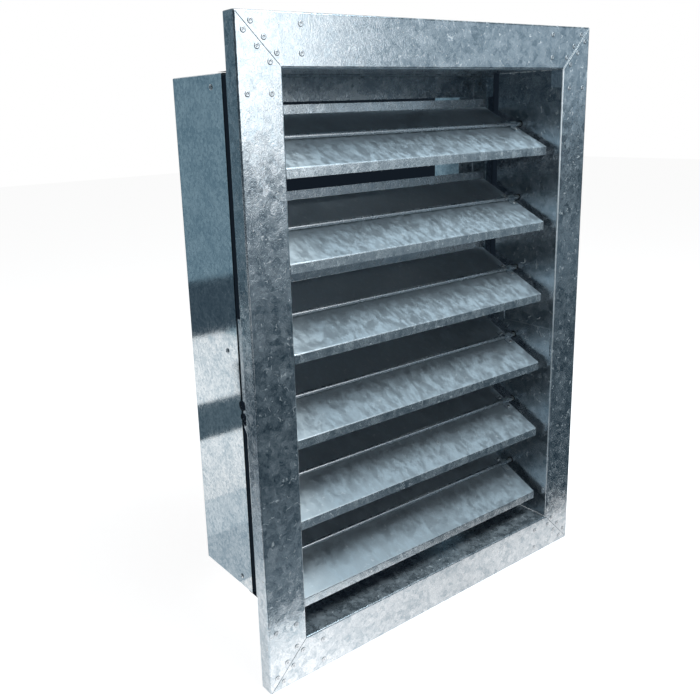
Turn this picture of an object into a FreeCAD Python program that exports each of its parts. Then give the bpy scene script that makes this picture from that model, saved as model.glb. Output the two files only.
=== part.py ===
import FreeCAD, Part
import math
import os

# Adjustable wall louver: a mitred flange frame with six linked pivoting blades, and a rear sleeve
# behind it. Millimetres. X runs to the right, Y into the wall, Z up. The origin is the centre of the
# opening in the plane of the wall, where the rear edge of the flange's lip rests. Depths are measured
# from the front face of the flange.

os.makedirs("parts", exist_ok=True)
V = FreeCAD.Vector

# Sheet metal
sheet = 1.2
bend_radius = 0.8
bend_clearance = 0.3

# Flange frame
face_width = 53.0
lip_depth = 19.0
jamb_depth = 108.0
opening_width = 444.0
mitre_gap = 0.8

# Blades, partly open at rest
blade_count = 6
blade_pitch = 101.3
blade_chord = 122.0
blade_lip = 11.0
blade_tilt = 26.2
blade_end_gap = 10.0
blade_swing_clearance = 1.9
pivot_depth = 68.6

# Axles, their clips and their bushes
axle_radius = 3.0
running_clearance = 0.05
clip_width = 12.0
clip_inset = 2.0
clip_foot = 10.0
clip_rivet_setback = 5.5
bush_barrel_radius = 4.5
bush_flange_radius = 7.5
bush_flange = 2.0
bush_inner_lip = 0.4
axle_head_radius = 5.0
axle_head = 2.0
axle_head_gap = 0.3

# Cranks and link bar, outside the right jamb
crank_gap = 0.3
crank_throw = 35.0
crank_width = 14.0
crank_sheet = 2.5
crank_hub_radius = 6.5
crank_hub_front = 2.0
crank_lead = 15.5
drive_throw = 45.0
drive_hole_radius = 3.0
link_gap = 0.8
link_width = 14.0
link_sheet = 2.5
link_end = 12.0
pin_radius = 2.5
pin_head_radius = 4.5
pin_head = 1.6
pin_washer_radius = 5.0
pin_washer = 0.8
pin_washer_gap = 0.6
pin_tip = 0.6

# Corner gussets behind the flange face, and their flat rivets
gusset_leg = 86.0
gusset_width = 47.0
gusset_edge = 3.0
gusset_sheet = 1.5
rivet_radius = 1.6
flat_head_radius = 3.2
flat_head = 0.6
flat_tail_radius = 2.6
flat_tail = 1.0
mitre_rivet_steps = (14.0, 28.5, 43.0)
mitre_rivet_offset = 4.2
leg_rivet_distance = 77.0
leg_rivet_offsets = (11.0, 39.0)

# Rear sleeve and the angle frame inside it
slot = 10.0
sleeve_depth = 116.0
seam_flange = 15.0
angle_setback = 37.0
angle_wall_leg = 25.0
angle_inner_leg = 30.0
angle_butt_gap = 0.3
dome_head_radius = 3.5
dome_head = 1.4
dome_tail_radius = 2.7
dome_tail = 1.2
corner_rivet_inset = 12.0

# Plates that join the front frame to the sleeve, and the plate at the driven axle
joint_plate_length = 148.0
joint_plate_drop = 29.0
joint_plate_lap = 20.0
joint_plate_slant = 31.5
joint_hole_radii = (6.5, 5.5, 3.6)
joint_hole_rises = (38.5, 24.0, 16.5)
joint_hole_setbacks = (8.0, 7.0, 5.0)
sleeve_notch_count = 2
drive_plate_height = 40.0
drive_plate_setback = 4.0
drive_plate_gap = 1.0
driven_blade_index = 3

# Blade rivets
small_rivet_radius = 1.25
small_head_radius = 2.5
small_head = 0.9
small_tail_radius = 2.1
small_tail = 0.8

front_y = -lip_depth
tilt = math.radians(blade_tilt)
blade_half = blade_chord / 2.0
opening_half_x = opening_width / 2.0
pivot_y = front_y + pivot_depth
lip_reach_u = blade_half + blade_lip * math.sin(tilt)
lip_reach_n = axle_radius + blade_lip * math.cos(tilt)
swing_radius = math.hypot(lip_reach_u, lip_reach_n)
blade_span = (blade_count - 1) * blade_pitch
opening_height = blade_span + 2.0 * (swing_radius + blade_swing_clearance)
opening_half_z = opening_height / 2.0
frame_width = opening_width + 2.0 * face_width
frame_height = opening_height + 2.0 * face_width
pivot_heights = [blade_span / 2.0 - i * blade_pitch for i in range(blade_count)]
sleeve_front_y = front_y + jamb_depth + slot
sleeve_rear_y = sleeve_front_y + sleeve_depth
angle_rear_y = sleeve_front_y + angle_setback
angle_front_y = angle_rear_y - angle_wall_leg
joint_top_z = joint_plate_length / 2.0 - joint_plate_drop
joint_low_z = joint_top_z - joint_plate_length


def save(name, shapes):
    shape = shapes[0] if len(shapes) == 1 else Part.makeCompound(shapes)
    shape.exportStep(os.path.join("parts", name + ".step"))


def box(x0, x1, y0, y1, z0, z1):
    return Part.makeBox(x1 - x0, y1 - y0, z1 - z0, V(x0, y0, z0))


def rounded_face(points, radii, place):
    """A face from a closed outline in a plane, with the corners of the given radii."""
    edges = []
    ends = []
    count = len(points)
    for i in range(count):
        here = points[i]
        before = points[i - 1]
        after = points[(i + 1) % count]
        radius = radii[i]
        if radius <= 0.0:
            ends.append((here, here, None))
            continue
        a = (before[0] - here[0], before[1] - here[1])
        b = (after[0] - here[0], after[1] - here[1])
        la = math.hypot(*a)
        lb = math.hypot(*b)
        a = (a[0] / la, a[1] / la)
        b = (b[0] / lb, b[1] / lb)
        half = math.acos(max(-1.0, min(1.0, a[0] * b[0] + a[1] * b[1]))) / 2.0
        reach = radius / math.tan(half)
        start = (here[0] + a[0] * reach, here[1] + a[1] * reach)
        end = (here[0] + b[0] * reach, here[1] + b[1] * reach)
        mid = (a[0] + b[0], a[1] + b[1])
        lm = math.hypot(*mid)
        out = radius / math.sin(half) - radius
        middle = (here[0] + mid[0] / lm * out, here[1] + mid[1] / lm * out)
        ends.append((start, end, middle))
    for i in range(count):
        start, end, middle = ends[i]
        if middle is not None:
            edges.append(Part.Arc(place(*start), place(*middle), place(*end)).toShape())
        nxt = ends[(i + 1) % count][0]
        edges.append(Part.makeLine(place(*end), place(*nxt)))
    return Part.Face(Part.Wire(edges))


def folded_face(path, thickness, place):
    """The section of a folded sheet. The path is one surface, and the metal lies on its right."""
    offset = []
    count = len(path)
    normals = []
    for i in range(count - 1):
        dx = path[i + 1][0] - path[i][0]
        dy = path[i + 1][1] - path[i][1]
        length = math.hypot(dx, dy)
        normals.append((dy / length, -dx / length))
    radii = [0.0]
    inner_radii = [0.0]
    offset.append((path[0][0] + normals[0][0] * thickness, path[0][1] + normals[0][1] * thickness))
    for i in range(1, count - 1):
        n0 = normals[i - 1]
        n1 = normals[i]
        scale = thickness / (1.0 + n0[0] * n1[0] + n0[1] * n1[1])
        offset.append((path[i][0] + (n0[0] + n1[0]) * scale, path[i][1] + (n0[1] + n1[1]) * scale))
        turns_right = n0[0] * n1[1] - n0[1] * n1[0] < 0.0
        radii.append(bend_radius + thickness if turns_right else bend_radius)
        inner_radii.append(bend_radius if turns_right else bend_radius + thickness)
    last = normals[-1]
    offset.append((path[-1][0] + last[0] * thickness, path[-1][1] + last[1] * thickness))
    radii.append(0.0)
    inner_radii.append(0.0)
    return rounded_face(list(path) + offset[::-1], radii + inner_radii[::-1], place)


def turned(outline, base, axis_end):
    """A solid of revolution: the outline holds (distance along the axis, radius) pairs."""
    points = [V(along, radius, 0.0) for along, radius in outline]
    points.append(points[0])
    solid = Part.Face(Part.makePolygon(points)).revolve(V(0, 0, 0), V(1, 0, 0), 360.0)
    direction = axis_end.sub(base)
    solid.Placement = FreeCAD.Placement(base, FreeCAD.Rotation(V(1, 0, 0), direction))
    return solid


def rivet(base, direction, grip, head, head_radius, tail, tail_radius, shank_radius):
    """A set rivet: the head sits on the near face at the base, and the tail on the far face."""
    crown = head * 0.45
    outline = [
        (-head, 0.0),
        (-head, head_radius - crown),
        (-head + crown, head_radius),
        (0.0, head_radius),
        (0.0, shank_radius),
        (grip, shank_radius),
        (grip, tail_radius),
        (grip + tail * 0.6, tail_radius),
        (grip + tail, tail_radius * 0.6),
        (grip + tail, 0.0),
    ]
    return turned(outline, base, base.add(direction))


def flange_member(length, across):
    """One mitred member, its length along X and its outer edge at the given distance above the centre."""
    path = [
        (lip_depth, 0.0),
        (0.0, 0.0),
        (0.0, -face_width),
        (jamb_depth, -face_width),
    ]
    section = folded_face(path[::-1], sheet, lambda y, z: V(-length / 2.0, front_y + y, across + z))
    bar = section.extrude(V(length, 0, 0))
    spare = 5.0
    back = mitre_gap / math.sqrt(2.0)
    wide = length / 2.0 + spare - back
    narrow = length / 2.0 - face_width - spare - back
    corners = [
        V(-wide, front_y - spare, across + spare),
        V(wide, front_y - spare, across + spare),
        V(narrow, front_y - spare, across - face_width - spare),
        V(-narrow, front_y - spare, across - face_width - spare),
    ]
    corners.append(corners[0])
    mitre = Part.Face(Part.makePolygon(corners)).extrude(V(0, jamb_depth + 2.0 * spare, 0))
    return bar.common(mitre).Solids[0]


def rivet_points():
    """Where the flat rivets sit on the flange face: X, Z and the corner they belong to."""
    pattern = []
    for step in mitre_rivet_steps:
        pattern.append((step - mitre_rivet_offset, step + mitre_rivet_offset))
        pattern.append((step + mitre_rivet_offset, step - mitre_rivet_offset))
    for offset in leg_rivet_offsets:
        pattern.append((offset, leg_rivet_distance))
        pattern.append((leg_rivet_distance, offset))
    points = []
    for side_x, side_z, corner in corner_list:
        for dx, dz in pattern:
            x = side_x * (frame_width / 2.0 - dx)
            z = side_z * (frame_height / 2.0 - dz)
            points.append((x, z, corner))
    return points


corner_list = [
    (-1, 1, "top_left"),
    (1, 1, "top_right"),
    (-1, -1, "bottom_left"),
    (1, -1, "bottom_right"),
]
flat_rivets = rivet_points()
half_w = frame_width / 2.0
half_h = frame_height / 2.0
origin = V(0, 0, 0)

# Flange members, with the rivet holes at their ends and the bush holes in the side jambs
members = {
    "flange_top": flange_member(frame_width, half_h),
    "flange_bottom": flange_member(frame_width, half_h).rotate(origin, V(0, 1, 0), 180.0),
    "flange_left": flange_member(frame_height, half_w).rotate(origin, V(0, 1, 0), -90.0),
    "flange_right": flange_member(frame_height, half_w).rotate(origin, V(0, 1, 0), 90.0),
}
face_holes = Part.makeCompound([
    Part.makeCylinder(rivet_radius, sheet + 2.0, V(x, front_y - 1.0, z), V(0, 1, 0))
    for x, z, corner in flat_rivets
])
bush_holes = Part.makeCompound([
    Part.makeCylinder(bush_barrel_radius, frame_width, V(-half_w, pivot_y, z), V(1, 0, 0))
    for z in pivot_heights
])
lip_guard = box(-half_w + face_width - 5.0, half_w - face_width + 5.0, front_y, front_y + jamb_depth,
                -half_h, half_h)
bush_holes = bush_holes.common(lip_guard)
for name, solid in members.items():
    solid = solid.cut(face_holes)
    if name in ("flange_left", "flange_right"):
        solid = solid.cut(bush_holes)
    members[name] = solid.Solids[0]
    save(name, [members[name]])

# Corner gussets and the flat rivets through face and gusset
gusset_y = front_y + sheet
for side_x, side_z, corner in corner_list:
    near = gusset_edge
    far = gusset_edge + gusset_width
    arms = []
    for along, across in ((gusset_leg, far), (far, gusset_leg)):
        xs = sorted((side_x * (half_w - near), side_x * (half_w - along)))
        zs = sorted((side_z * (half_h - near), side_z * (half_h - across)))
        arms.append(box(xs[0], xs[1], gusset_y, gusset_y + gusset_sheet, zs[0], zs[1]))
    gusset = arms[0].fuse(arms[1]).removeSplitter()
    for x, z, owner in flat_rivets:
        if owner == corner:
            gusset = gusset.cut(Part.makeCylinder(rivet_radius, 5.0, V(x, gusset_y - 1.0, z), V(0, 1, 0)))
    save("gusset_" + corner, [gusset.Solids[0]])
save("gusset_rivets", [
    rivet(V(x, front_y, z), V(0, 1, 0), sheet + gusset_sheet, flat_head, flat_head_radius,
          flat_tail, flat_tail_radius, rivet_radius)
    for x, z, corner in flat_rivets
])

# Rear sleeve: two side panels with seam flanges lapped over flat top and bottom panels. The side panels
# are notched at the front, where the joint plates' holes reach past the slot.
dome_y = (angle_front_y + angle_rear_y) / 2.0
outer_x = opening_half_x + sheet
outer_z = opening_half_z + sheet
side_rivets = (opening_half_z - corner_rivet_inset, 0.0, -opening_half_z + corner_rivet_inset)
end_rivets = (-opening_half_x + 1.5 * corner_rivet_inset, 0.0, opening_half_x - 1.5 * corner_rivet_inset)
joint_holes = [
    (radius, front_y + jamb_depth + setback, joint_low_z + rise)
    for radius, setback, rise in zip(joint_hole_radii, joint_hole_setbacks, joint_hole_rises)
]
for side, name in ((-1, "sleeve_left"), (1, "sleeve_right")):
    seam_z = outer_z + sheet
    path = [
        (side * (outer_x - seam_flange), seam_z),
        (side * outer_x, seam_z),
        (side * outer_x, -seam_z),
        (side * (outer_x - seam_flange), -seam_z),
    ]
    if side < 0:
        path = path[::-1]
    section = folded_face(path, sheet, lambda x, z: V(x, sleeve_front_y, z))
    panel = section.extrude(V(0, sleeve_depth, 0))
    for z in side_rivets:
        hole_start = V(side * outer_x - 3.0, dome_y, z)
        panel = panel.cut(Part.makeCylinder(rivet_radius, 6.0, hole_start, V(1, 0, 0)))
    for radius, y, z in joint_holes[:sleeve_notch_count]:
        notch_start = V(side * outer_x - 3.0, y, z)
        panel = panel.cut(Part.makeCylinder(radius, 6.0, notch_start, V(1, 0, 0)))
    save(name, [panel.Solids[0]])
panel_half = opening_half_x - bend_radius - bend_clearance
for side, name in ((1, "sleeve_top"), (-1, "sleeve_bottom")):
    low, high = sorted((side * opening_half_z, side * outer_z))
    panel = box(-panel_half, panel_half, sleeve_front_y, sleeve_rear_y, low, high)
    for x in end_rivets:
        panel = panel.cut(Part.makeCylinder(rivet_radius, 6.0, V(x, dome_y, low - 2.0), V(0, 0, 1)))
    save(name, [panel.Solids[0]])

# Angle frame inside the sleeve, and the domed rivets through sleeve and angle
angle_half = opening_half_x - sheet - bend_radius - bend_clearance
notch = opening_half_z - angle_inner_leg - angle_butt_gap
for side, name in ((1, "angle_top"), (-1, "angle_bottom")):
    path = [
        (angle_front_y, side * opening_half_z),
        (angle_rear_y, side * opening_half_z),
        (angle_rear_y, side * (opening_half_z - angle_inner_leg)),
    ]
    if side < 0:
        path = path[::-1]
    section = folded_face(path, sheet, lambda y, z: V(-angle_half, y, z))
    bar = section.extrude(V(2.0 * angle_half, 0, 0))
    for x in end_rivets:
        hole_start = V(x, dome_y, side * opening_half_z - 3.0)
        bar = bar.cut(Part.makeCylinder(rivet_radius, 6.0, hole_start, V(0, 0, 1)))
    save(name, [bar.Solids[0]])
for side, name in ((-1, "angle_left"), (1, "angle_right")):
    path = [
        (side * opening_half_x, angle_front_y),
        (side * opening_half_x, angle_rear_y),
        (side * (opening_half_x - angle_inner_leg), angle_rear_y),
    ]
    if side > 0:
        path = path[::-1]
    section = folded_face(path, sheet, lambda x, y: V(x, y, -opening_half_z + bend_clearance))
    bar = section.extrude(V(0, 0, 2.0 * (opening_half_z - bend_clearance)))
    for end in (-1, 1):
        low, high = sorted((end * notch, end * (opening_half_z + 1.0)))
        xs = sorted((side * (angle_half + 0.2), 0.0))
        bar = bar.cut(box(xs[0], xs[1], angle_front_y - 1.0, angle_rear_y + 1.0, low, high))
    for z in side_rivets:
        hole = Part.makeCylinder(rivet_radius, 6.0, V(side * opening_half_x - 3.0, dome_y, z), V(1, 0, 0))
        bar = bar.cut(hole)
    save(name, [bar.Solids[0]])
grip = 2.0 * sheet
domes = []
for z in side_rivets:
    for side in (-1, 1):
        domes.append(rivet(V(side * outer_x, dome_y, z), V(-side, 0, 0), grip, dome_head, dome_head_radius,
                           dome_tail, dome_tail_radius, rivet_radius))
for x in end_rivets:
    for side in (-1, 1):
        domes.append(rivet(V(x, dome_y, side * outer_z), V(0, 0, -side), grip, dome_head, dome_head_radius,
                           dome_tail, dome_tail_radius, rivet_radius))
save("sleeve_rivets", domes)

# Joint plates: they bridge the slot between the jambs and the sleeve, inside both, with round holes at
# their lower ends, two of which run together
joint_front_y = front_y + jamb_depth - joint_plate_lap
joint_rear_y = angle_front_y - bend_clearance
for side, name in ((-1, "joint_plate_left"), (1, "joint_plate_right")):
    inner = min(side * opening_half_x, side * (opening_half_x - sheet))
    corners = [
        V(inner, joint_front_y, joint_low_z),
        V(inner, front_y + jamb_depth, joint_low_z),
        V(inner, joint_rear_y, joint_low_z + joint_plate_slant),
        V(inner, joint_rear_y, joint_top_z),
        V(inner, joint_front_y, joint_top_z),
    ]
    corners.append(corners[0])
    plate = Part.Face(Part.makePolygon(corners)).extrude(V(sheet, 0, 0))
    for radius, y, z in joint_holes:
        plate = plate.cut(Part.makeCylinder(radius, sheet + 2.0, V(inner - 1.0, y, z), V(1, 0, 0)))
    save(name, [plate.Solids[0]])

# Plate on the inside of the right jamb at the driven axle
driven_z = pivot_heights[driven_blade_index]
drive_plate = box(opening_half_x - sheet, opening_half_x, front_y + drive_plate_setback,
                  joint_front_y - drive_plate_gap, driven_z - drive_plate_height / 2.0,
                  driven_z + drive_plate_height / 2.0)
drive_hole = Part.makeCylinder(bush_barrel_radius, opening_half_x, V(0.0, pivot_y, driven_z), V(1, 0, 0))
save("drive_plate", [drive_plate.cut(drive_hole).Solids[0]])

# Bushes in the jambs, pushed in from outside: a flange outside and a barrel through the sheet
bore = axle_radius + running_clearance
for side, name in ((-1, "axle_bushes_left"), (1, "axle_bushes_right")):
    bushes = []
    for index, z in enumerate(pivot_heights):
        seat = sheet if side > 0 and index == driven_blade_index else 0.0
        inner_end = -sheet - seat - bush_inner_lip
        outline = [
            (inner_end, bore),
            (inner_end, bush_barrel_radius),
            (0.0, bush_barrel_radius),
            (0.0, bush_flange_radius),
            (bush_flange, bush_flange_radius),
            (bush_flange, bore),
        ]
        base = V(side * outer_x, pivot_y, z)
        bushes.append(turned(outline, base, base.add(V(side, 0, 0))))
    save(name, bushes)

# Blades with their axles, clips, rivets and cranks. U runs up the blade from its centre and N is
# square to its upper face.
along_u = (math.cos(tilt), math.sin(tilt))
along_n = (-math.sin(tilt), math.cos(tilt))


def on_blade(x, u, n, pivot_z):
    """A point from its place on the blade, with N counted from the upper face."""
    n = n - axle_radius
    y = pivot_y + u * along_u[0] + n * along_n[0]
    z = pivot_z + u * along_u[1] + n * along_n[1]
    return V(x, y, z)


blade_half_x = opening_half_x - blade_end_gap
clip_centre_x = blade_half_x - clip_inset - clip_width / 2.0
clip_inner = axle_radius + sheet
clip_reach = clip_inner + clip_foot
clip_rivet_u = clip_inner + clip_rivet_setback
crank_x = outer_x + bush_flange + crank_gap
arm_x = crank_x + crank_hub_front
link_x = arm_x + crank_sheet + link_gap
axle_left_x = -outer_x - bush_flange - axle_head_gap
axle_right_x = link_x + link_sheet


def arm(throw, angle, x, pivot_z, hole):
    """A flat arm with round ends from the pivot, and the hole near its free end."""
    direction = V(0, math.cos(angle), math.sin(angle))
    square = V(0, -math.sin(angle), math.cos(angle))
    centre = V(x, pivot_y, pivot_z)
    end = centre.add(direction * throw)
    half = square * (crank_width / 2.0)
    corners = [centre.add(half), centre.sub(half), end.sub(half), end.add(half)]
    corners.append(corners[0])
    plate = Part.Face(Part.makePolygon(corners)).extrude(V(crank_sheet, 0, 0))
    for point in (centre, end):
        plate = plate.fuse(Part.makeCylinder(crank_width / 2.0, crank_sheet, point, V(1, 0, 0)))
    cutter = Part.makeCylinder(hole, crank_sheet + 2.0, end.sub(V(1.0, 0, 0)), V(1, 0, 0))
    return plate.cut(cutter)


link_angle = math.pi - math.radians(crank_lead)
pin_points = []
for index, pivot_z in enumerate(pivot_heights):
    fold = (0.0 - blade_half, 0.0)
    down = (-math.sin(tilt) * blade_lip, -math.cos(tilt) * blade_lip)
    path = [
        (fold[0] + down[0], fold[1] + down[1]),
        fold,
        (blade_half, 0.0),
        (blade_half - down[0], -down[1]),
    ]
    section = folded_face(path, sheet, lambda u, n: on_blade(-blade_half_x, u, n, pivot_z))
    blade = section.extrude(V(2.0 * blade_half_x, 0, 0))
    clips = []
    rivets = []
    normal = V(0, along_n[0], along_n[1])
    for side in (-1, 1):
        x0 = side * clip_centre_x - clip_width / 2.0
        foot = rounded_face(
            [(-clip_reach, 0.0), (clip_reach, 0.0), (clip_reach, sheet), (-clip_reach, sheet)],
            [0.0, 0.0, 0.0, 0.0], lambda u, n: on_blade(x0, u, n, pivot_z))
        clip = foot.extrude(V(clip_width, 0, 0))
        centre = on_blade(x0, 0.0, axle_radius, pivot_z)
        clip = clip.fuse(Part.makeCylinder(clip_inner, clip_width, centre, V(1, 0, 0)))
        under = rounded_face(
            [(-clip_reach, -2.0 * clip_inner), (clip_reach, -2.0 * clip_inner), (clip_reach, 0.0),
             (-clip_reach, 0.0)], [0.0] * 4, lambda u, n: on_blade(x0 - 1.0, u, n, pivot_z))
        clip = clip.cut(under.extrude(V(clip_width + 2.0, 0, 0)))
        groove = rounded_face(
            [(-axle_radius, -1.0), (axle_radius, -1.0), (axle_radius, axle_radius),
             (-axle_radius, axle_radius)], [0.0] * 4, lambda u, n: on_blade(x0 - 1.0, u, n, pivot_z))
        clip = clip.cut(groove.extrude(V(clip_width + 2.0, 0, 0)))
        hole_start = centre.sub(V(1.0, 0, 0))
        clip = clip.cut(Part.makeCylinder(axle_radius, clip_width + 2.0, hole_start, V(1, 0, 0)))
        for end in (-1, 1):
            top = on_blade(side * clip_centre_x, end * clip_rivet_u, sheet, pivot_z)
            drill = Part.makeCylinder(small_rivet_radius, 4.0 * sheet, top.add(normal), normal * -1.0)
            clip = clip.cut(drill)
            blade = blade.cut(drill)
            rivets.append(rivet(top, normal * -1.0, grip, small_head, small_head_radius, small_tail,
                                small_tail_radius, small_rivet_radius))
        clips.append(clip.removeSplitter().Solids[0])
    axle_start = V(axle_left_x, pivot_y, pivot_z)
    axle = Part.makeCylinder(axle_radius, axle_right_x - axle_left_x, axle_start, V(1, 0, 0))
    axle = axle.fuse(Part.makeCylinder(axle_head_radius, axle_head, axle_start, V(-1, 0, 0))).removeSplitter()
    crank = arm(crank_throw, link_angle, arm_x, pivot_z, pin_radius + running_clearance)
    if index == driven_blade_index:
        crank = crank.fuse(arm(drive_throw, link_angle - math.pi, arm_x, pivot_z, drive_hole_radius))
    hub_start = V(crank_x, pivot_y, pivot_z)
    hub = Part.makeCylinder(crank_hub_radius, axle_right_x - crank_x, hub_start, V(1, 0, 0))
    crank = crank.fuse(hub).cut(axle).removeSplitter()
    direction = V(0, math.cos(link_angle), math.sin(link_angle))
    pin_points.append(V(0, pivot_y, pivot_z).add(direction * crank_throw))
    prefix = "blade_%d" % (index + 1)
    save(prefix, [blade.Solids[0]])
    save(prefix + "_axle", [axle.Solids[0]])
    save(prefix + "_clips", clips)
    save(prefix + "_clip_rivets", rivets)
    save(prefix + "_crank", [crank.Solids[0]])

# Link bar with its pins and the washers that keep them in the cranks
top_pin = pin_points[0]
bottom_pin = pin_points[-1]
half = link_width / 2.0
radius = half - 0.5
outline = [
    (top_pin.y - half, bottom_pin.z - link_end),
    (top_pin.y + half, bottom_pin.z - link_end),
    (top_pin.y + half, top_pin.z + link_end),
    (top_pin.y - half, top_pin.z + link_end),
]
bar = rounded_face(outline, [radius] * 4, lambda y, z: V(link_x, y, z)).extrude(V(link_sheet, 0, 0))
pins = []
washers = []
shank_end = link_sheet + link_gap + crank_sheet + pin_washer_gap + pin_washer + pin_tip
for point in pin_points:
    outer = V(link_x + link_sheet, point.y, point.z)
    bar = bar.cut(Part.makeCylinder(pin_radius, link_sheet + 2.0, outer.add(V(1.0, 0, 0)), V(-1, 0, 0)))
    outline = [
        (-pin_head, 0.0),
        (-pin_head, pin_head_radius - 0.5),
        (-pin_head + 0.5, pin_head_radius),
        (0.0, pin_head_radius),
        (0.0, pin_radius),
        (shank_end, pin_radius),
        (shank_end, 0.0),
    ]
    pins.append(turned(outline, outer, outer.sub(V(1.0, 0, 0))))
    near = shank_end - pin_tip - pin_washer
    outline = [
        (near, pin_radius),
        (near, pin_washer_radius),
        (near + pin_washer, pin_washer_radius),
        (near + pin_washer, pin_radius),
    ]
    washers.append(turned(outline, outer, outer.sub(V(1.0, 0, 0))))
save("link_bar", [bar.Solids[0]])
save("link_pins", pins)
save("link_pin_washers", washers)
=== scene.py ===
import bmesh
import bpy
import math
from mathutils import Matrix, Vector


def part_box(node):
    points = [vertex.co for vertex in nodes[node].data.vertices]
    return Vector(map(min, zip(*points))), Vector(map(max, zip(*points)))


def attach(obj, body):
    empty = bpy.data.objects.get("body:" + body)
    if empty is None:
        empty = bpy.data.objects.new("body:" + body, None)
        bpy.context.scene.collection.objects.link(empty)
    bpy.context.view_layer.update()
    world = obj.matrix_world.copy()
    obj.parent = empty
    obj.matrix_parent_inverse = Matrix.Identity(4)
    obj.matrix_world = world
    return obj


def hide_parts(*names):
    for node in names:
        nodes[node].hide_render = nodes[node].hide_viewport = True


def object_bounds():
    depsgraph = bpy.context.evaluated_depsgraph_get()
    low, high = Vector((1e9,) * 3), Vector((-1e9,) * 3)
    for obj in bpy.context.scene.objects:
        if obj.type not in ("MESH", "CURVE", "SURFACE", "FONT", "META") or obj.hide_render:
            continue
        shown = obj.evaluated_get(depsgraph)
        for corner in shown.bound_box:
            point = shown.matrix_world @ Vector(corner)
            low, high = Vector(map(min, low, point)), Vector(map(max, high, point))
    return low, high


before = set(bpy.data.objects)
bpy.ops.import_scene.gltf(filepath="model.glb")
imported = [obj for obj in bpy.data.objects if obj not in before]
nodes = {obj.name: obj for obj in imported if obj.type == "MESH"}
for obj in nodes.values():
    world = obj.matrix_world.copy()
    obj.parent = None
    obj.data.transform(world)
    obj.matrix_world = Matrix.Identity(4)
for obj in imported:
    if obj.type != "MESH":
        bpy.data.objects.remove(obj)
cad_low, cad_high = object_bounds()

# Flange frame: four members folded from 1.2 mm steel sheet, each with an outer lip, a flat face and a
# jamb, mitred at the corners. The sheet was dipped in zinc, which froze into crystals a few millimetres
# wide, ribbed like feathers and each with its own slight tilt.


def add_node(tree, kind, inputs=None, **settings):
    node = tree.nodes.new(kind)
    for name, value in settings.items():
        setattr(node, name, value)
    for name, value in (inputs or {}).items():
        if isinstance(value, bpy.types.NodeSocket):
            tree.links.new(value, node.inputs[name])
        else:
            node.inputs[name].default_value = value
    return node


def calculate(tree, operation, *values):
    return add_node(tree, "ShaderNodeMath", dict(enumerate(values)), operation=operation).outputs[0]


def vector_step(tree, operation, first, second):
    second_socket = "Scale" if operation == "SCALE" else 1
    node = add_node(tree, "ShaderNodeVectorMath", {0: first, second_socket: second}, operation=operation)
    return node.outputs[0]


def blend_values(tree, share, first, second):
    return add_node(tree, "ShaderNodeMix", {0: share, 2: first, 3: second}, data_type="FLOAT").outputs[0]


def blend_colours(tree, share, first, second):
    inputs = {0: share}
    for socket, colour in ((6, first), (7, second)):
        inputs[socket] = colour if isinstance(colour, bpy.types.NodeSocket) else (*colour, 1.0)
    return add_node(tree, "ShaderNodeMix", inputs, data_type="RGBA").outputs[2]


def remap(tree, value, low, high, new_low, new_high):
    inputs = {"Value": value, "From Min": low, "From Max": high, "To Min": new_low, "To Max": new_high}
    return add_node(tree, "ShaderNodeMapRange", inputs).outputs["Result"]


def noise(tree, place, scale, detail, **inputs):
    values = {"Vector": place, "Scale": scale, "Detail": detail, **inputs}
    node = add_node(tree, "ShaderNodeTexNoise", values)
    return node.outputs["Fac"]


def new_group(name, inputs, outputs):
    group = bpy.data.node_groups.new(name, "ShaderNodeTree")
    for socket_name, kind, value in inputs:
        socket = group.interface.new_socket(socket_name, in_out="INPUT", socket_type="NodeSocket" + kind)
        if value is not None:
            socket.default_value = value
    for socket_name, kind in outputs:
        group.interface.new_socket(socket_name, in_out="OUTPUT", socket_type="NodeSocket" + kind)
    return group, group.nodes.new("NodeGroupInput").outputs, group.nodes.new("NodeGroupOutput").inputs


def place_group(tree, group, **inputs):
    return add_node(tree, "ShaderNodeGroup", inputs, node_tree=group).outputs


def new_material(name):
    material = bpy.data.materials.new(name)
    material.use_nodes = True
    tree = material.node_tree
    return material, tree, tree.nodes["Principled BSDF"]


# Zinc crystals: a tone for each crystal, ribs that run its own way, and a facet that leans
crystals, given, result = new_group(
    "zinc_crystals",
    [("Place", "Vector", None), ("Size", "Float", 0.008), ("Tilt", "Float", 0.1)],
    [("Tone", "Float"), ("Ribs", "Float"), ("Facet", "Vector")],
)
drift = add_node(crystals, "ShaderNodeTexNoise", {"Vector": given["Place"], "Scale": 110.0, "Detail": 2.0})
drift = vector_step(crystals, "SUBTRACT", drift.outputs["Color"], (0.5, 0.5, 0.5))
drift = vector_step(crystals, "SCALE", drift, calculate(crystals, "MULTIPLY", given["Size"], 0.7))
counted = vector_step(crystals, "ADD", given["Place"], drift)
counted = vector_step(crystals, "SCALE", counted, calculate(crystals, "DIVIDE", 1.0, given["Size"]))
cell = add_node(crystals, "ShaderNodeTexVoronoi", {"Vector": counted, "Scale": 1.0})
from_seed = vector_step(crystals, "SUBTRACT", counted, cell.outputs["Position"])
angles = vector_step(crystals, "SCALE", cell.outputs["Color"], 2.0 * math.pi)
turned = add_node(
    crystals, "ShaderNodeVectorRotate", {"Vector": from_seed, "Rotation": angles}, rotation_type="EULER_XYZ",
)
drawn_out = vector_step(crystals, "MULTIPLY", turned.outputs[0], (0.8, 4.2, 4.2))
ribs = noise(crystals, drawn_out, 1.0, 2.0, Roughness=0.55, Distortion=1.1)
ribs = remap(crystals, ribs, 0.35, 0.65, 0.0, 1.0)
cell_tone = add_node(crystals, "ShaderNodeSeparateColor", {"Color": cell.outputs["Color"]}).outputs["Red"]
crystals.links.new(blend_values(crystals, 0.4, cell_tone, ribs), result["Tone"])
crystals.links.new(ribs, result["Ribs"])
lean = vector_step(crystals, "SUBTRACT", cell.outputs["Color"], (0.5, 0.5, 0.5))
lean = vector_step(crystals, "SCALE", lean, given["Tilt"])
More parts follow.
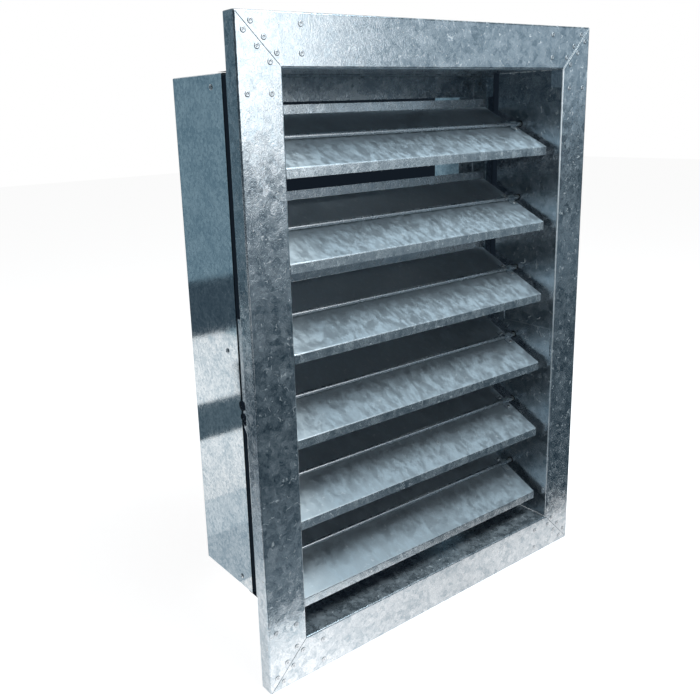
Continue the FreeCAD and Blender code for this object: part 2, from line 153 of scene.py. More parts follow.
surface = add_node(crystals, "ShaderNodeNewGeometry").outputs["Normal"]
facet = vector_step(crystals, "ADD", surface, lean)
facet = add_node(crystals, "ShaderNodeVectorMath", {0: facet}, operation="NORMALIZE").outputs[0]
crystals.links.new(facet, result["Facet"])

# Feather flecks: short curved strokes where the edge of a crystal stands up and shines, painted near-white as
# painted highlights
flecks, given, result = new_group(
    "feather_glints",
    [
        ("Place", "Vector", None), ("Spacing", "Float", 0.02), ("Width", "Float", 0.03),
        ("Share", "Float", 0.5),
    ],
    [("Mask", "Float")],
)
per_spacing = calculate(flecks, "DIVIDE", 1.0, given["Spacing"])
counted = vector_step(flecks, "SCALE", given["Place"], per_spacing)
curves = noise(flecks, counted, 1.0, 1.0, Distortion=0.6)
off_curve = calculate(flecks, "ABSOLUTE", calculate(flecks, "SUBTRACT", curves, 0.5))
line = calculate(flecks, "SUBTRACT", 1.0, calculate(flecks, "DIVIDE", off_curve, given["Width"]))
line = calculate(flecks, "MAXIMUM", line, 0.0)
patch = noise(flecks, vector_step(flecks, "ADD", counted, (7.3, 2.9, 5.1)), 1.9, 2.0)
threshold = calculate(flecks, "SUBTRACT", 1.0, given["Share"])
patch = calculate(flecks, "MULTIPLY", calculate(flecks, "SUBTRACT", patch, threshold), 9.0)
patch = add_node(flecks, "ShaderNodeClamp", {0: patch}).outputs[0]
flecks.links.new(calculate(flecks, "MULTIPLY", line, patch), result["Mask"])

# Dulled patches: cloudy stains and the haze that grows on zinc in damp air
haze, given, result = new_group(
    "dulled_patches",
    [("Place", "Vector", None), ("Stretch", "Vector", (1.0, 1.0, 1.0)), ("Size", "Float", 0.03)],
    [("Mask", "Float")],
)
counted = vector_step(haze, "MULTIPLY", given["Place"], given["Stretch"])
counted = vector_step(haze, "SCALE", counted, calculate(haze, "DIVIDE", 1.0, given["Size"]))
cloud = noise(haze, counted, 1.0, 4.0, Roughness=0.62, Distortion=0.4)
haze.links.new(remap(haze, cloud, 0.36, 0.64, 0.0, 1.0), result["Mask"])

# Settled dust: a dull film on the faces that look up, thinner in streaks
dust, given, result = new_group(
    "settled_dust",
    [("Facing", "Vector", None), ("Streaks", "Float", 0.5), ("Amount", "Float", 0.5)],
    [("Mask", "Float")],
)
upward = add_node(dust, "ShaderNodeSeparateXYZ", {0: given["Facing"]}).outputs["Z"]
upward = remap(dust, upward, 0.35, 0.8, 0.0, 1.0)
film = calculate(dust, "MULTIPLY", upward, remap(dust, given["Streaks"], 0.0, 1.0, 0.45, 1.0))
dust.links.new(calculate(dust, "MULTIPLY", film, given["Amount"]), result["Mask"])

# Corner highlight: a painted highlight, pale and not metal, along the top right mitre and, fading, down the
# fold below it
opening_side = 0.222
opening_top = 0.32225
frame_side = 0.275
corner_highlight, given, result = new_group(
    "painted_corner_highlight", [("Spot", "Vector", None), ("Facing", "Vector", None)], [("Mask", "Float")],
)
spot = add_node(corner_highlight, "ShaderNodeSeparateXYZ", {0: given["Spot"]}).outputs
rise = calculate(corner_highlight, "SUBTRACT", spot["Z"], spot["X"])
off_mitre = calculate(corner_highlight, "SUBTRACT", rise, opening_top - opening_side)
off_mitre = calculate(corner_highlight, "ABSOLUTE", off_mitre)
line_edge = remap(corner_highlight, spot["X"], opening_side, frame_side, 0.0027, 0.0013)
on_mitre = remap(corner_highlight, off_mitre, 0.0008, line_edge, 1.0, 0.0)
fading = remap(corner_highlight, spot["Z"], -0.3, 0.3, 0.15, 0.9)
on_fold = remap(corner_highlight, spot["X"], opening_side + 0.0008, opening_side + 0.0020, fading, 0.0)
beside_jamb = calculate(corner_highlight, "LESS_THAN", calculate(corner_highlight, "ABSOLUTE", spot["Z"]), opening_top)
on_fold = calculate(corner_highlight, "MULTIPLY", on_fold, beside_jamb)
highlight = calculate(corner_highlight, "MAXIMUM", on_mitre, on_fold)
on_the_right = calculate(corner_highlight, "GREATER_THAN", spot["X"], opening_side - 0.001)
highlight = calculate(corner_highlight, "MULTIPLY", highlight, on_the_right)
front = add_node(corner_highlight, "ShaderNodeSeparateXYZ", {0: given["Facing"]}).outputs["Y"]
highlight = calculate(corner_highlight, "MULTIPLY", highlight, remap(corner_highlight, front, -0.5, -0.1, 1.0, 0.0))
corner_highlight.links.new(highlight, result["Mask"])


def galvanised(
    name, pale, deep, crystal_size, tilt, rib_height, smooth, matt, offset,
    stretch=(1.0, 1.0, 1.0), patch_size=0.03, patch_share=0.3, fleck_share=0.45, fleck_width=0.03, dusty=0.5,
    spread=(0.25, 0.75), pale_metallic=0.8, least_dust=0.55, lit_end=0.0, shaded_front=False,
    highlighted_corner=False,
):
    """Zinc on steel sheet: deep-toned shiny crystals among pale dull ones, painted glints, stains and dust.

    lit_end pales the dust at the left end, a painted pool of light; shaded_front darkens the cut edges
    in front, painted shade; and highlighted_corner paints a pale highlight at the frame's top right corner.
    """
    material, tree, shader = new_material(name)
    coordinates = add_node(tree, "ShaderNodeTexCoord").outputs
    place = vector_step(tree, "ADD", coordinates["Object"], offset)
    coarse = place_group(tree, crystals, Place=place, Size=crystal_size, Tilt=tilt)
    fine = place_group(tree, crystals, Place=place, Size=crystal_size * 0.5, Tilt=tilt * 0.8)
    stains = place_group(tree, haze, Place=place, Stretch=stretch, Size=patch_size)["Mask"]
    bright = place_group(
        tree, flecks, Place=place, Spacing=crystal_size * 1.5, Width=fleck_width, Share=fleck_share,
    )["Mask"]
    tone = blend_values(tree, 0.4, coarse["Tone"], fine["Tone"])
    streaks = remap(tree, blend_values(tree, 0.5, stains, tone), 0.32, 0.68, least_dust, 1.0)
    film = place_group(tree, dust, Facing=coordinates["Normal"], Streaks=streaks, Amount=dusty)["Mask"]
    tone = blend_values(tree, patch_share, tone, stains)
    tone = remap(tree, tone, *spread, 0.0, 1.0)
    roughness = remap(tree, tone, 0.0, 1.0, smooth, matt)
    tree.links.new(blend_values(tree, film, roughness, 0.62), shader.inputs["Roughness"])
    metallic = blend_values(tree, bright, remap(tree, tone, 0.0, 1.0, 0.96, pale_metallic), 0.45)
    metallic = blend_values(tree, film, metallic, 0.25)
    colour = blend_colours(tree, tone, deep, pale)
    # Painted highlight: the flecks turn near-white and less metal, glints painted into the colour
    colour = blend_colours(tree, bright, colour, glint_colour)
    film_colour = blend_colours(tree, streaks, dust_deep, dust_pale)
    # Painted light: the dust film at the left end of the blades is painted pale, a pool of light laid into
    # the colour
    if lit_end:
        across = add_node(tree, "ShaderNodeSeparateXYZ", {0: coordinates["Object"]}).outputs["X"]
        rubbed_and_lit = remap(tree, across, -0.195, -0.155, lit_end, 0.0)
        film_colour = blend_colours(tree, rubbed_and_lit, film_colour, end_light_colour)
    colour = blend_colours(tree, film, colour, film_colour)
    # Painted shade: the cut edges that face the front, bare steel, are painted near-black
    if shaded_front:
        front = add_node(tree, "ShaderNodeSeparateXYZ", {0: coordinates["Normal"]}).outputs["Y"]
        cut_edge = remap(tree, front, -0.9, -0.7, 1.0, 0.0)
        colour = blend_colours(tree, cut_edge, colour, edge_shade_colour)
    # Painted highlight: a pale line with no metal along the top right mitre and down the fold below it
    if highlighted_corner:
        highlight = place_group(tree, corner_highlight, Spot=coordinates["Object"], Facing=coordinates["Normal"])["Mask"]
        colour = blend_colours(tree, highlight, colour, highlight_colour)
        metallic = blend_values(tree, highlight, metallic, 0.0)
    tree.links.new(colour, shader.inputs["Base Color"])
    tree.links.new(metallic, shader.inputs["Metallic"])
    facets = add_node(
        tree, "ShaderNodeMix", {0: 0.4, 4: coarse["Facet"], 5: fine["Facet"]}, data_type="VECTOR",
    )
    relief = add_node(
        tree, "ShaderNodeBump",
        {"Strength": 0.7, "Distance": rib_height, "Height": coarse["Ribs"], "Normal": facets.outputs[1]},
    )
    tree.links.new(relief.outputs["Normal"], shader.inputs["Normal"])
    return material


def finish_with(material, *beginnings):
    for node_name in nodes:
        if node_name.startswith(beginnings):
            mesh = nodes[node_name].data
            mesh.materials.clear()
            mesh.materials.append(material)


pale_zinc = (0.73, 0.78, 0.82)
deep_zinc = (0.35, 0.42, 0.47)
# The near-white of the painted glints on the crystal edges
glint_colour = (0.90, 0.93, 0.95)
dust_pale = (0.34, 0.41, 0.46)
dust_deep = (0.08, 0.12, 0.155)
# The pale of the painted light on the blades' left ends
end_light_colour = (0.60, 0.625, 0.635)
# The near-black of the painted shade on the sleeve's cut edges in front
edge_shade_colour = (0.05, 0.062, 0.072)
# The near-white of the painted highlight at the frame's top right corner
highlight_colour = (0.98, 0.99, 1.0)
# The frame carries a painted highlight at its top right corner
frame_zinc = galvanised(
    "frame_zinc", pale_zinc, deep_zinc, crystal_size=0.0085, tilt=0.06, rib_height=0.00007,
    smooth=0.15, matt=0.27, offset=(0.0, 0.0, 0.0), patch_size=0.018, patch_share=0.15, dusty=0.2,
    spread=(0.2, 0.8), fleck_share=0.45, highlighted_corner=True,
)
finish_with(frame_zinc, "flange")

# Corner gussets: flat L plates of thicker sheet behind each mitre. Ten blind rivets at each corner pull
# the plate and the face together, each a low head with a rolled rim round the broken end of its stem.
gusset_zinc = galvanised(
    "gusset_zinc", deep_zinc, (0.22, 0.26, 0.29), crystal_size=0.007, tilt=0.05, rib_height=0.0001,
    smooth=0.3, matt=0.5, offset=(0.7, 0.2, 0.4),
)
finish_with(gusset_zinc, "gusset_top", "gusset_bottom")

rivet_sides = 28
flat_rivet_grip = 2.7
flat_rivet_outline = [
    (-0.40, 0.0), (-0.40, 0.75), (-0.28, 0.85), (-0.28, 1.05), (-0.50, 1.20), (-0.60, 1.50), (-0.60, 2.30),
    (-0.50, 2.80), (-0.25, 3.10), (0.0, 3.2), (0.0, 1.6), (flat_rivet_grip, 1.6), (flat_rivet_grip, 2.6),
    (flat_rivet_grip + 0.6, 2.6), (flat_rivet_grip + 1.0, 1.6), (flat_rivet_grip + 1.0, 0.0),
]


def solids_in(node_name):
    """The lowest and highest corner of each separate solid in a node."""
    mesh = nodes[node_name].data
    points = [tuple(round(value, 5) for value in vertex.co) for vertex in mesh.vertices]
    leader = {point: point for point in points}

    def first_of(point):
        while leader[point] != point:
            point = leader[point]
        return point

    for polygon in mesh.polygons:
        start = first_of(points[polygon.vertices[0]])
        for index in polygon.vertices:
            leader[first_of(points[index])] = start
    groups = {}
    for point in leader:
        groups.setdefault(first_of(point), []).append(point)
    return [
        (Vector([min(axis) for axis in zip(*group)]), Vector([max(axis) for axis in zip(*group)]))
        for group in groups.values()
    ]


def rivets_at(name, stations, outline, replaced_node):
    """Turned rivets, one for each station: the point under the head and the way the shank goes."""
    build = bmesh.new()
    rim_shade = build.verts.layers.float.new("rim_shade")
    for base, axis in stations:
        side = axis.orthogonal().normalized()
        other = axis.cross(side)
        rings = []
        for along, radius in outline:
            centre = base + axis * (along * 0.001)
            ring = []
            for step in range(rivet_sides if radius else 1):
                angle = 2.0 * math.pi * step / rivet_sides
                offset = (side * math.cos(angle) + other * math.sin(angle)) * (radius * 0.001)
                vertex = build.verts.new(centre + offset)
                # Painted shade: the recess round the stem and the rim's foot at the sheet are marked for
                # darkening
                vertex[rim_shade] = 1.0 if along > -0.29 else 0.0
                ring.append(vertex)
            rings.append(ring)
        for inner, outer in zip(rings, rings[1:]):
            for step in range(rivet_sides):
                after = (step + 1) % rivet_sides
                corners = [inner[step % len(inner)], inner[after % len(inner)],
                           outer[after % len(outer)], outer[step % len(outer)]]
                build.faces.new(list(dict.fromkeys(corners)))
    bmesh.ops.recalc_face_normals(build, faces=build.faces)
    mesh = bpy.data.meshes.new(name)
    build.to_mesh(mesh)
    build.free()
    for polygon in mesh.polygons:
        polygon.use_smooth = True
    mesh.set_sharp_from_angle(angle=math.radians(38.0))
    mesh.materials.append(rivet_steel)
    piece = bpy.data.objects.new(name, mesh)
    bpy.context.scene.collection.objects.link(piece)
    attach(piece, "frame")
    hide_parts(replaced_node)


rivet_steel, tree, shader = new_material("rivet_steel")
place = add_node(tree, "ShaderNodeTexCoord").outputs["Object"]
speckle = remap(tree, noise(tree, place, 900.0, 3.0), 0.35, 0.65, 0.0, 1.0)
# Painted shade: dark and dull in the recess round the stem and where the rim meets the sheet
rim_shade = add_node(tree, "ShaderNodeAttribute", attribute_name="rim_shade").outputs["Fac"]
rim_shade = calculate(tree, "MULTIPLY", rim_shade, remap(tree, speckle, 0.0, 1.0, 0.75, 1.0))
metal = blend_colours(tree, speckle, (0.50, 0.55, 0.59), (0.72, 0.76, 0.79))
roughness = remap(tree, speckle, 0.0, 1.0, 0.26, 0.42)
tree.links.new(blend_colours(tree, rim_shade, metal, (0.14, 0.16, 0.175)), shader.inputs["Base Color"])
tree.links.new(blend_values(tree, rim_shade, roughness, 0.7), shader.inputs["Roughness"])
tree.links.new(blend_values(tree, rim_shade, 0.92, 0.3), shader.inputs["Metallic"])
pitted = add_node(tree, "ShaderNodeBump", {"Strength": 0.4, "Distance": 0.00004, "Height": speckle})
tree.links.new(pitted.outputs["Normal"], shader.inputs["Normal"])

face_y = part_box("flange_top")[0].y
face_rivets = [
    (Vector(((low.x + high.x) / 2.0, face_y, (low.z + high.z) / 2.0)), Vector((0.0, 1.0, 0.0)))
    for low, high in solids_in("gusset_rivets")
]
rivets_at("blind_rivets_face", face_rivets, flat_rivet_outline, "gusset_rivets")

# Rear sleeve: two side panels whose seam flanges lap over flat top and bottom panels. The sheet is
# smoother than the frame's, with a fine crystal, so it mirrors what stands beside it.
# Its cut edges in front are painted near-black: painted shade
sleeve_zinc = galvanised(
    "sleeve_zinc", (0.80, 0.845, 0.87), (0.36, 0.45, 0.51), crystal_size=0.004, tilt=0.004,
    rib_height=0.000004, smooth=0.035, matt=0.08, offset=(0.31, 0.17, 0.05), patch_size=0.03,
    patch_share=0.2, fleck_share=0.35, dusty=0.5, pale_metallic=0.9, shaded_front=True,
)
finish_with(sleeve_zinc, "sleeve_left", "sleeve_right", "sleeve_top", "sleeve_bottom")

# Angle frame: four angles cut from zinc-dipped sheet and riveted inside the sleeve, their inward legs
# behind the blades. They keep the panels square and give a filter or a screen its seat.
angle_zinc = galvanised(
    "angle_zinc", (0.48, 0.535, 0.57), (0.25, 0.30, 0.34), crystal_size=0.009, tilt=0.07, rib_height=0.0001,
    smooth=0.18, matt=0.34, offset=(0.91, 0.33, 0.62), patch_size=0.02, fleck_share=0.45, fleck_width=0.04,
)
finish_with(angle_zinc, "angle")

# Sleeve rivets: three domed blind rivets on each side, through sleeve and angle, each with the stub of its
# stem in the middle and its set tail inside.
dome_rivet_grip = 2.4
dome_rivet_outline = [
    (-0.80, 0.0), (-0.80, 0.75), (-0.55, 0.85), (-0.55, 1.15), (-1.25, 1.35), (-1.40, 1.65), (-1.30, 2.2),
    (-1.00, 2.75), (-0.55, 3.2), (-0.20, 3.42), (0.0, 3.5), (0.0, 1.6), (dome_rivet_grip, 1.6),
    (dome_rivet_grip, 2.7), (dome_rivet_grip + 0.7, 2.7), (dome_rivet_grip + 1.2, 1.6),
    (dome_rivet_grip + 1.2, 0.0),
]
sleeve_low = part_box("sleeve_left")[0]
sleeve_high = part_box("sleeve_right")[1]
panel_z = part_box("sleeve_top")[1].z
sleeve_rivets = []
for low, high in solids_in("sleeve_rivets"):
    middle = (low + high) / 2.0
    if abs(middle.x) > sleeve_high.x - 0.006:
        side = math.copysign(1.0, middle.x)
        sleeve_rivets.append((Vector((side * sleeve_high.x, middle.y, middle.z)), Vector((-side, 0.0, 0.0))))
    else:
        side = math.copysign(1.0, middle.z)
        sleeve_rivets.append((Vector((middle.x, middle.y, side * panel_z)), Vector((0.0, 0.0, -side))))
rivets_at("blind_rivets_sleeve", sleeve_rivets, dome_rivet_outline, "sleeve_rivets")

# Joint plates and drive plate: flat pieces of the same sheet, let in between jamb and sleeve at each side
# and behind the driven axle. Their cut edges and holes are left as they were punched.
plate_zinc = galvanised(
    "plate_zinc", pale_zinc, (0.45, 0.52, 0.57), crystal_size=0.006, tilt=0.04, rib_height=0.00006,
    smooth=0.12, matt=0.28, offset=(0.45, 0.81, 0.27), fleck_share=0.3,
)
finish_with(plate_zinc, "joint_plate", "drive_plate")

# Axle bushes: flanged nylon bushes pressed into the jambs. They are matt from the mould, finely pored, and
# rubbed a little smoother in patches.
nylon, tree, shader = new_material("moulded_nylon")
shader.inputs["Specular IOR Level"].default_value = 0.4
place = add_node(tree, "ShaderNodeTexCoord").outputs["Object"]
grain = noise(tree, place, 2400.0, 2.0)
rubbed_and_lit = remap(tree, noise(tree, place, 180.0, 3.0), 0.4, 0.7, 0.0, 1.0)
tree.links.new(
    blend_colours(tree, rubbed_and_lit, (0.016, 0.017, 0.019), (0.040, 0.042, 0.045)), shader.inputs["Base Color"],
)
tree.links.new(remap(tree, rubbed_and_lit, 0.0, 1.0, 0.62, 0.42), shader.inputs["Roughness"])
pores = add_node(tree, "ShaderNodeBump", {"Strength": 0.35, "Distance": 0.00005, "Height": grain})
tree.links.new(pores.outputs["Normal"], shader.inputs["Normal"])
finish_with(nylon, "axle_bushes")

# Blades: six Z-folded blades of zinc-dipped sheet, each with a lip down in front and a lip up behind. The
# crystals are large, the stains drawn out across the blade, and dust has dulled the faces that look up.
# The blades' dust is painted paler at their left ends: painted light
blade_zinc = galvanised(
    "blade_zinc", (0.68, 0.735, 0.77), (0.52, 0.59, 0.64), crystal_size=0.009, tilt=0.06, rib_height=0.00005,
    smooth=0.2, matt=0.3, offset=(0.11, 0.47, 0.23), stretch=(1.0, 0.45, 0.45), patch_size=0.0085,
    patch_share=0.3, fleck_share=0.45, dusty=0.8, spread=(0.15, 0.85), pale_metallic=0.7, lit_end=0.6,
    least_dust=0.0,
)

# Axles, clips, cranks and link: the axle is a plated 6 mm rod under two riveted clips, with a crank
# pressed on its right end. The link bar joins the cranks with headed pins and washers, all of them plated.


def plated(name, pale, deep, smooth, matt, drawn):
    """Bright zinc plate over drawn or cut steel: fine lines along the piece and faint cloudy tarnish."""
    material, tree, shader = new_material(name)
    place = add_node(tree, "ShaderNodeTexCoord").outputs["Object"]
    lines = noise(tree, vector_step(tree, "MULTIPLY", place, drawn), 1.0, 2.0)
    lines = remap(tree, lines, 0.3, 0.7, 0.0, 1.0)
    tarnish = place_group(tree, haze, Place=place, Size=0.012)["Mask"]
    tone = blend_values(tree, 0.5, lines, tarnish)
    tree.links.new(blend_colours(tree, tone, deep, pale), shader.inputs["Base Color"])
    tree.links.new(remap(tree, tone, 0.0, 1.0, matt, smooth), shader.inputs["Roughness"])
    tree.links.new(remap(tree, tarnish, 0.0, 1.0, 0.86, 0.97), shader.inputs["Metallic"])
    relief = add_node(tree, "ShaderNodeBump", {"Strength": 0.3, "Distance": 0.00002, "Height": lines})
    tree.links.new(relief.outputs["Normal"], shader.inputs["Normal"])
    return material


rod_plate = plated("rod_plate", (0.74, 0.77, 0.79), (0.46, 0.51, 0.54), 0.2, 0.36, (12.0, 900.0, 900.0))
link_plate = plated("link_plate", (0.74, 0.75, 0.72), (0.50, 0.53, 0.53), 0.2, 0.36, (900.0, 900.0, 20.0))
blade_count = 6
for number in range(1, blade_count + 1):
    blade = "blade_%d" % number
    finish_with(blade_zinc, blade)
    finish_with(plate_zinc, blade + "_clips")
    finish_with(rod_plate, blade + "_axle", blade + "_clip_rivets")
    finish_with(link_plate, blade + "_crank")
finish_with(link_plate, "link")

# Floor and surround: a wide pale floor under the frame's lowest edge and a white room. The camera and the
# metal see both as white, and little light comes from them, so that the floor keeps the shadow.
floor_z = cad_low.z - 0.0005
floor_half = 8.0
floor_white = 0.5
floor_glow = 0.94
room_light = 0.04


def seen_rays(tree):
    """1 for what the camera, the metal and glass see, and 0 for the light that falls on the object."""
    path = add_node(tree, "ShaderNodeLightPath").outputs
    seen = calculate(tree, "MAXIMUM", path["Is Camera Ray"], path["Is Glossy Ray"])
    return calculate(tree, "MAXIMUM", seen, path["Is Transmission Ray"])


def flat_piece(name, corners, material):
    mesh = bpy.data.meshes.new(name)
    mesh.from_pydata(corners, [], [tuple(range(len(corners)))])
    mesh.materials.append(material)
    piece = bpy.data.objects.new(name, mesh)
    bpy.context.scene.collection.objects.link(piece)
    return piece


def lying(x_low, x_high, y_low, y_high, z):
    return [(x_low, y_low, z), (x_high, y_low, z), (x_high, y_high, z), (x_low, y_high, z)]


def facing(x_low, x_high, y, z_low, z_high):
    return [(x_low, y, z_low), (x_high, y, z_low), (x_high, y, z_high), (x_low, y, z_high)]


def beside(x, y_low, y_high, z_low, z_high):
    return [(x, y_low, z_low), (x, y_low, z_high), (x, y_high, z_high), (x, y_high, z_low)]


paper, tree, shader = new_material("white_floor")
shader.inputs["Roughness"].default_value = 0.95
shader.inputs["Specular IOR Level"].default_value = 0.0
shader.inputs["Emission Color"].default_value = (1.0, 1.0, 1.0, 1.0)
shader.inputs["Base Color"].default_value = (floor_white, floor_white, floor_white, 1.0)
tree.links.new(remap(tree, seen_rays(tree), 0.0, 1.0, 0.0, floor_glow), shader.inputs["Emission Strength"])
flat_piece("floor", lying(-floor_half, floor_half, -floor_half, floor_half, floor_z), paper)

world = bpy.data.worlds.new("studio")
bpy.context.scene.world = world
world.use_nodes = True
tree = world.node_tree
background = tree.nodes["Background"]
background.inputs["Color"].default_value = (1.0, 1.0, 1.0, 1.0)
tree.links.new(remap(tree, seen_rays(tree), 0.0, 1.0, room_light, 1.0), background.inputs["Strength"])

# Reflector cards: dark and pale boards round the object, out of the picture and of the light on it, that
# only the bright metal mirrors. A white board in front on the right makes the upper left corner shine.


def glowing(name, colour, strength=1.0):
    material, tree, shader = new_material(name)
    shader.inputs["Base Color"].default_value = (0.0, 0.0, 0.0, 1.0)
    shader.inputs["Specular IOR Level"].default_value = 0.0
    shader.inputs["Emission Color"].default_value = (*colour, 1.0)
    shader.inputs["Emission Strength"].default_value = strength
    return material, tree, shader


def reflector(name, corners, colour, strength=1.0):
    card = flat_piece(name, corners, glowing(name, colour, strength)[0])
    card.visible_camera = False
    card.visible_diffuse = False
    card.visible_shadow = False
    card.visible_transmission = False


low = floor_z + 0.002
front_y = -1.2
far_front_y = -1.7
back_y = 1.4
left_x = -3.0
right_x = 3.5
top_z = 1.8
slate = (0.030, 0.052, 0.070)
deep_shade = (0.06, 0.09, 0.115)
soft_shade = (0.075, 0.105, 0.13)

# In front: a bank of boards, dark at its foot and paler upwards, and the white board over it
bank_left = -0.35
bank_right = 1.3
bank_low = -0.33
bank_middle = -0.2
strip_top = -0.17
window_left = -0.1
window_right = 0.72
window_foot = 0.162
window_top = 1.2
pale_right = 1.2
pale_foot = 0.22
pale_top = 0.9
for name, x_low, x_high, z_low, z_high, colour in (
    ("board_front_low", bank_left, right_x, low, bank_low, slate),
    ("board_front_upper", bank_left, bank_right, 0.0, window_foot, (0.17, 0.21, 0.245)),
    ("board_front_middle", bank_left, bank_right, bank_middle, 0.0, (0.16, 0.205, 0.24)),
    ("board_front_lower", bank_left, bank_right, bank_low, bank_middle, soft_shade),
    ("board_front_strip", bank_right, right_x, bank_low, strip_top, (0.17, 0.23, 0.275)),
    ("board_front_right", bank_right, right_x, strip_top, window_foot, slate),
    ("board_front_under", window_right, right_x, window_foot, pale_foot, slate),
    ("board_front_pale", window_right, pale_right, pale_foot, pale_top, (0.40, 0.48, 0.54)),
    ("board_front_grey", pale_right, right_x, pale_foot, pale_top, (0.34, 0.43, 0.50)),
):
    reflector(name, facing(x_low, x_high, front_y, z_low, z_high), colour)
front_white = facing(window_left, window_right, front_y, window_foot, window_top)
reflector("board_front_white", front_white, (1.0, 1.0, 1.0), 2.4)

# At the mouth of the opening a strip that shades the top jamb, and slate at the sides and above
reflector("board_mouth", facing(-0.2219, 0.2219, 0.0, 0.300, 0.3225), (0.07, 0.10, 0.125))
reflector("board_front_high", facing(window_right, right_x, front_y - 0.1, pale_top, top_z), slate)
reflector("board_front_left", facing(left_x, 0.1, far_front_y, low, top_z), slate)
reflector("board_left", beside(left_x, far_front_y, back_y, low, top_z), slate)
reflector("board_right", beside(right_x, far_front_y, 1.0, low, top_z), slate)
reflector("board_above", lying(left_x, right_x, far_front_y, 1.0, top_z), slate)

# On the floor in front: slate, with a pale foot that the bottom rail mirrors, brightest at its left end
reflector(
    "board_front_floor",
    [(left_x, front_y, low), (right_x, front_y, low), (right_x, -0.07, low), (0.36, -0.07, low),
     (0.0, -0.10, low), (-0.16, -0.12, low), (-0.6, -0.12, low), (left_x, -0.11, low)],
    slate,
)
foot_near = -0.09
foot_far = -0.0195
foot_colour = (1.0, 0.97, 0.955)
foot_levels = ((-0.30, 1.75), (-0.20, 1.66), (-0.08, 1.25), (0.06, 1.05), (0.15, 1.12), (0.40, 1.12))
foot_strip = 0.02
for (x_from, level_from), (x_to, level_to) in zip(foot_levels, foot_levels[1:]):
    strips = round((x_to - x_from) / foot_strip)
    for step in range(strips):
        level = level_from + (level_to - level_from) * (step + 0.5) / strips
        x_low = x_from + (x_to - x_from) * step / strips
        x_high = x_from + (x_to - x_from) * (step + 1) / strips
        reflector("board_front_foot", lying(x_low, x_high, foot_near, foot_far, low), foot_colour, level)
near_left = -0.5
near_right = 0.1
near_middle = -0.25
step_z = low + 0.001
reflector("board_front_step", lying(near_left, near_right, -0.40, near_middle, step_z), soft_shade)
reflector("board_front_near", lying(near_left, near_right, near_middle, -0.12, step_z), (0.17, 0.215, 0.25))

# At the left and behind: the boards and floor strips that the sleeve's left panel mirrors as bands
far_left = -1.8
far_y = 1.1
reflector("board_left_near", lying(left_x, -0.55, -0.11, 0.2, low), deep_shade)
reflector("board_left_far", lying(far_left, -0.93, far_y, back_y, low), (0.32, 0.46, 0.52))
back_left = -2.6
back_middle = -1.02
back_right = -0.45
back_foot = -0.2
back_top = 1.2
reflector("board_back", facing(back_middle, back_right, back_y, back_foot, back_top), (0.21, 0.31, 0.37))
reflector("board_back_left", facing(back_left, back_middle, back_y, back_foot, back_top), (0.10, 0.155, 0.19))
reflector("board_back_foot", facing(back_left, back_right, back_y, low, back_foot), deep_shade)
reflector("board_back_strip", lying(back_left, -0.3, 0.69, 0.88, low), (0.11, 0.155, 0.185))
panel_left = -0.9
panel_right = -0.24
panel_middle = 0.34
reflector("board_back_near", lying(panel_left, panel_right, 0.2, panel_middle, low), (0.55, 0.62, 0.67))
reflector("board_back_next", lying(panel_left, panel_right, panel_middle, 0.45, low), (0.74, 0.80, 0.84))
reflector(
    "board_left_floor",
    [(-0.40, 0.28, low), (-0.565, 0.66, low), (-0.80, far_y, low), (far_left, far_y, low),
     (far_left, 0.3, low)],
    deep_shade,
)

# Dark backings: painted shade, dark sheets with a faint glow behind the sleeve, at the slots round the jambs
# and at the seams in the right corners, so that the gaps look dark. They show only from the front or the
# inside, and cast nothing. The one behind the sleeve is clear to rays from what stands close to it, the
# angles' rear faces.


def shade_backing(name, clear_reach):
    """Painted shade that shows from its front only, and lets through what starts closer to it than
    clear_reach.
    """
    material, tree, shader = glowing(name, (0.007, 0.011, 0.017))
    see_through = add_node(tree, "ShaderNodeBsdfTransparent").outputs[0]
    from_behind = add_node(tree, "ShaderNodeNewGeometry").outputs["Backfacing"]
    path = add_node(tree, "ShaderNodeLightPath")
    near = calculate(tree, "LESS_THAN", path.outputs["Ray Length"], clear_reach)
    mirrored = calculate(tree, "LESS_THAN", path.outputs["Ray Depth"], 2.5)
    open_way = calculate(tree, "MAXIMUM", from_behind, calculate(tree, "MULTIPLY", near, mirrored))
    one_way = add_node(tree, "ShaderNodeMixShader", {0: open_way, 1: shader.outputs[0], 2: see_through})
    tree.links.new(one_way.outputs[0], tree.nodes["Material Output"].inputs["Surface"])
    return material


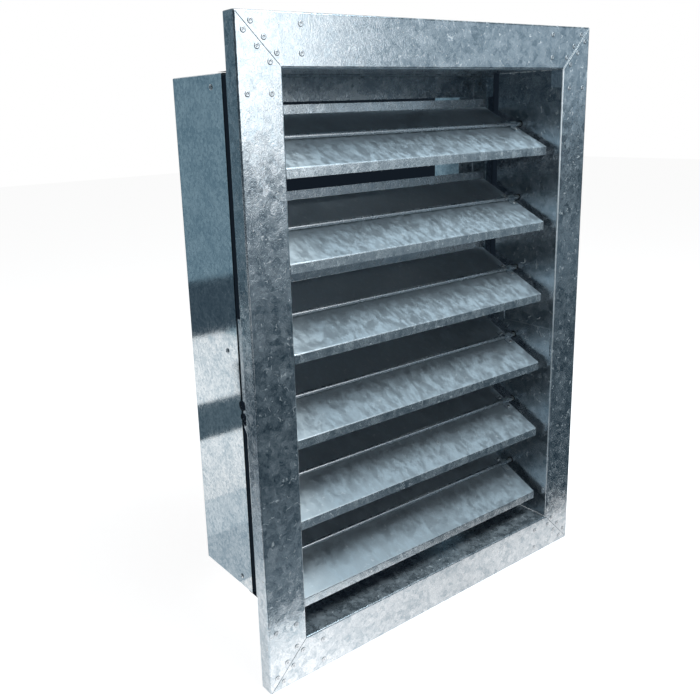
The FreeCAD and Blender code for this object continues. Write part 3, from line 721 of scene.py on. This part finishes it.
duct_shade = shade_backing("duct_shade", 0.1)
slot_shade = shade_backing("slot_shade", 0.0)
rear_gap = 0.0003
slot_x = 0.2248
left_slot_x = -0.2203
slot_z = 0.3258
corner_front = -0.0155
slot_front = 0.086
slot_rear = 0.110
duct_end = facing(sleeve_low.x, sleeve_high.x, cad_high.y + rear_gap, -panel_z, panel_z)
for name, corners, material in (
    ("backing_duct", duct_end, duct_shade),
    ("backing_right_slot", beside(slot_x, slot_front, slot_rear, -0.32, 0.3235), slot_shade),
    ("backing_left_slot", beside(left_slot_x, 0.088, 0.1095, -0.322, 0.322), slot_shade),
    ("backing_top_slot", lying(-opening_side, slot_x, slot_front, slot_rear, slot_z)[::-1], slot_shade),
    ("backing_bottom_slot", lying(-opening_side, slot_x, slot_front, slot_rear, -slot_z), slot_shade),
    ("backing_lower_corner", beside(slot_x, corner_front, slot_front, -0.3250, -0.318), slot_shade),
    ("backing_upper_corner", beside(slot_x, corner_front, slot_front, 0.318, 0.3245), slot_shade),
):
    backing = flat_piece(name, corners, material)
    backing.visible_shadow = False
    backing.visible_transmission = False

# Lamps: two large soft boxes in front and above, a little bluish, steep enough to leave the rear halves
# of the blades in the shade of the blades above them. Only the metal in the left half mirrors the second.
for name, across, width, energy, mirrored in (
    ("soft_box", 0.5, 1.1, 17.0, False),
    ("soft_box_left", 0.15, 1.0, 15.0, True),
):
    lamp_data = bpy.data.lights.new(name, "AREA")
    lamp_data.shape = "RECTANGLE"
    lamp_data.size = width
    lamp_data.size_y = 0.6
    lamp_data.energy = energy
    lamp_data.color = (0.82, 0.94, 1.0)
    lamp = bpy.data.objects.new(name, lamp_data)
    bpy.context.scene.collection.objects.link(lamp)
    lamp.location = (across, -0.56, 1.3)
    lamp.rotation_euler = (-lamp.location).to_track_quat("-Z", "Y").to_euler()
    lamp.visible_camera = False
    lamp.visible_glossy = mirrored

# Camera: from the left and a little above, as in the photograph. Its place, turn and lens are fitted to the
# corners of the frame, the sleeve and the blades.
camera_data = bpy.data.cameras.new("camera")
camera_data.sensor_width = 36.0
camera_data.lens = 40.72
camera_data.shift_x = 0.0487
camera_data.shift_y = -0.0539
camera = bpy.data.objects.new("camera", camera_data)
bpy.context.scene.collection.objects.link(camera)
camera_right = Vector((0.8014, -0.5972, -0.0343))
camera_up = Vector((0.1735, 0.1772, 0.9688))
camera_back = Vector((-0.5724, -0.7823, 0.2456))
turn = Matrix((camera_right, camera_up, camera_back)).transposed().to_4x4()
camera.matrix_world = Matrix.Translation((-0.6828, -0.6900, 0.2796)) @ turn
bpy.context.scene.camera = camera
bpy.context.scene.view_settings.view_transform = "Standard"
